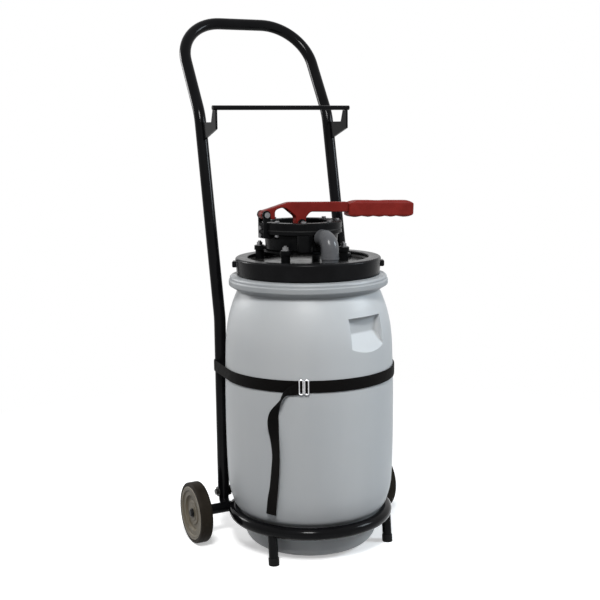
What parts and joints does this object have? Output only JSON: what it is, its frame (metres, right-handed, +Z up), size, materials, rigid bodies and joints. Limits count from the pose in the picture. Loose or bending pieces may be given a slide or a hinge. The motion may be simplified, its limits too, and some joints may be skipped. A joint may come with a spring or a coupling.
{
  "type": "wheeled sprayer cart",
  "caption": "Barrel on a tubular hand cart with a hand-lever diaphragm pump on its screwed lid, held by a webbing strap.",
  "frame": {"origin": "on the floor, on the barrel's axis", "axes": "+Z up, -Y front, X along the wheels' axle"},
  "size_m": [0.5736, 0.5747, 1.25],
  "materials": {
    "black_steel": "gloss",
    "zinc_steel": "satin",
    "foot_rubber": "matte",
    "tyre": "matte",
    "rim_plastic": "satin",
    "barrel_plastic": "satin",
    "webbing": "matte",
    "ring_plastic": "satin",
    "lid_plastic": "gloss",
    "seal_rubber": "matte",
    "pump_casting": "satin",
    "grey_plastic": "satin",
    "black_plastic": "satin",
    "lever_red": "satin",
    "grip_red": "satin"
  },
  "bodies": {
    "frame": {"handle_loop": "black_steel", "base_hoop": "black_steel", "upright_stubs": "black_steel", "axle_tube_left": "black_steel", "axle_rod_left": "zinc_steel", "foot_tube_left": "black_steel", "foot_cap_left": "foot_rubber", "hook_plate_left": "black_steel", "axle_spacer_left": "zinc_steel", "axle_tube_right": "black_steel", "axle_rod_right": "zinc_steel", "foot_tube_right": "black_steel", "foot_cap_right": "foot_rubber", "hook_plate_right": "black_steel", "axle_spacer_right": "zinc_steel", "hose_bar": "black_steel", "axle_caps": "zinc_steel", "upright_bolts": "zinc_steel", "upright_washers": "zinc_steel", "upright_nuts": "zinc_steel", "barrel_shell": "barrel_plastic", "barrel_neck": "barrel_plastic", "strap_band": "webbing", "strap_tail": "webbing", "buckle_rings": "zinc_steel"},
    "wheel_left": {"wheel_rim_left": "rim_plastic", "wheel_tyre_left": "tyre", "wheel_bush_left": "rim_plastic"},
    "wheel_right": {"wheel_rim_right": "rim_plastic", "wheel_tyre_right": "tyre", "wheel_bush_right": "rim_plastic"},
    "lid": {"lid_disc": "lid_plastic", "lid_gasket": "seal_rubber", "pump_posts": "pump_casting", "pump_plate": "pump_casting", "pump_bowl": "pump_casting", "pump_studs": "zinc_steel", "stud_washers": "zinc_steel", "stud_nuts": "zinc_steel", "clamp_ring": "pump_casting", "clamp_bolts": "zinc_steel", "clamp_nuts": "zinc_steel", "fulcrum_bracket": "pump_casting", "bracket_bolts": "zinc_steel", "pivot_pin": "zinc_steel", "elbow": "grey_plastic", "coupler": "grey_plastic", "suction_pipe": "grey_plastic", "strainer": "black_plastic", "outlet_spigot": "black_plastic"},
    "screw_ring": {"screw_ring": "ring_plastic"},
    "bung": {"bung": "ring_plastic"},
    "lever": {"lever": "lever_red", "lever_grip": "grip_red"},
    "piston": {"clevis": "pump_casting", "link_pin": "zinc_steel", "drive_plate_low": "zinc_steel", "drive_plate_high": "zinc_steel", "diaphragm": "seal_rubber"}
  },
  "joints": [
    {"name": "wheel_left_spin", "type": "hinge", "parent": "frame", "child": "wheel_left", "pos_m": [-0.2512, 0.106, 0.0725], "axis": [1, 0, 0], "continuous": true},
    {"name": "wheel_right_spin", "type": "hinge", "parent": "frame", "child": "wheel_right", "pos_m": [0.2512, 0.106, 0.0725], "axis": [1, 0, 0], "continuous": true},
    {"name": "lid_lift", "type": "slide", "parent": "frame", "child": "lid", "axis": [0, 0, 1], "range_m": [0, 0.2]},
    {"name": "ring_turn", "type": "hinge", "parent": "lid", "child": "screw_ring", "pos_m": [0, 0, 0.66], "axis": [0, 0, 1], "continuous": true},
    {"name": "bung_pull", "type": "slide", "parent": "lid", "child": "bung", "axis": [0, 0, 1], "range_m": [0, 0.03]},
    {"name": "lever_hinge", "type": "hinge", "parent": "lid", "child": "lever", "pos_m": [-0.0955, 0.034, 0.7803], "axis": [0, -1, 0], "range_deg": [0, 32]},
    {"name": "piston_slide", "type": "slide", "parent": "lid", "child": "piston", "axis": [0, 0, 1], "range_m": [0, 0.053], "deforming": ["diaphragm"]}
  ],
  "couplings": [
    {"joint": "piston_slide", "follows": "lever_hinge", "m_per_rad": 0.094}
  ]
}
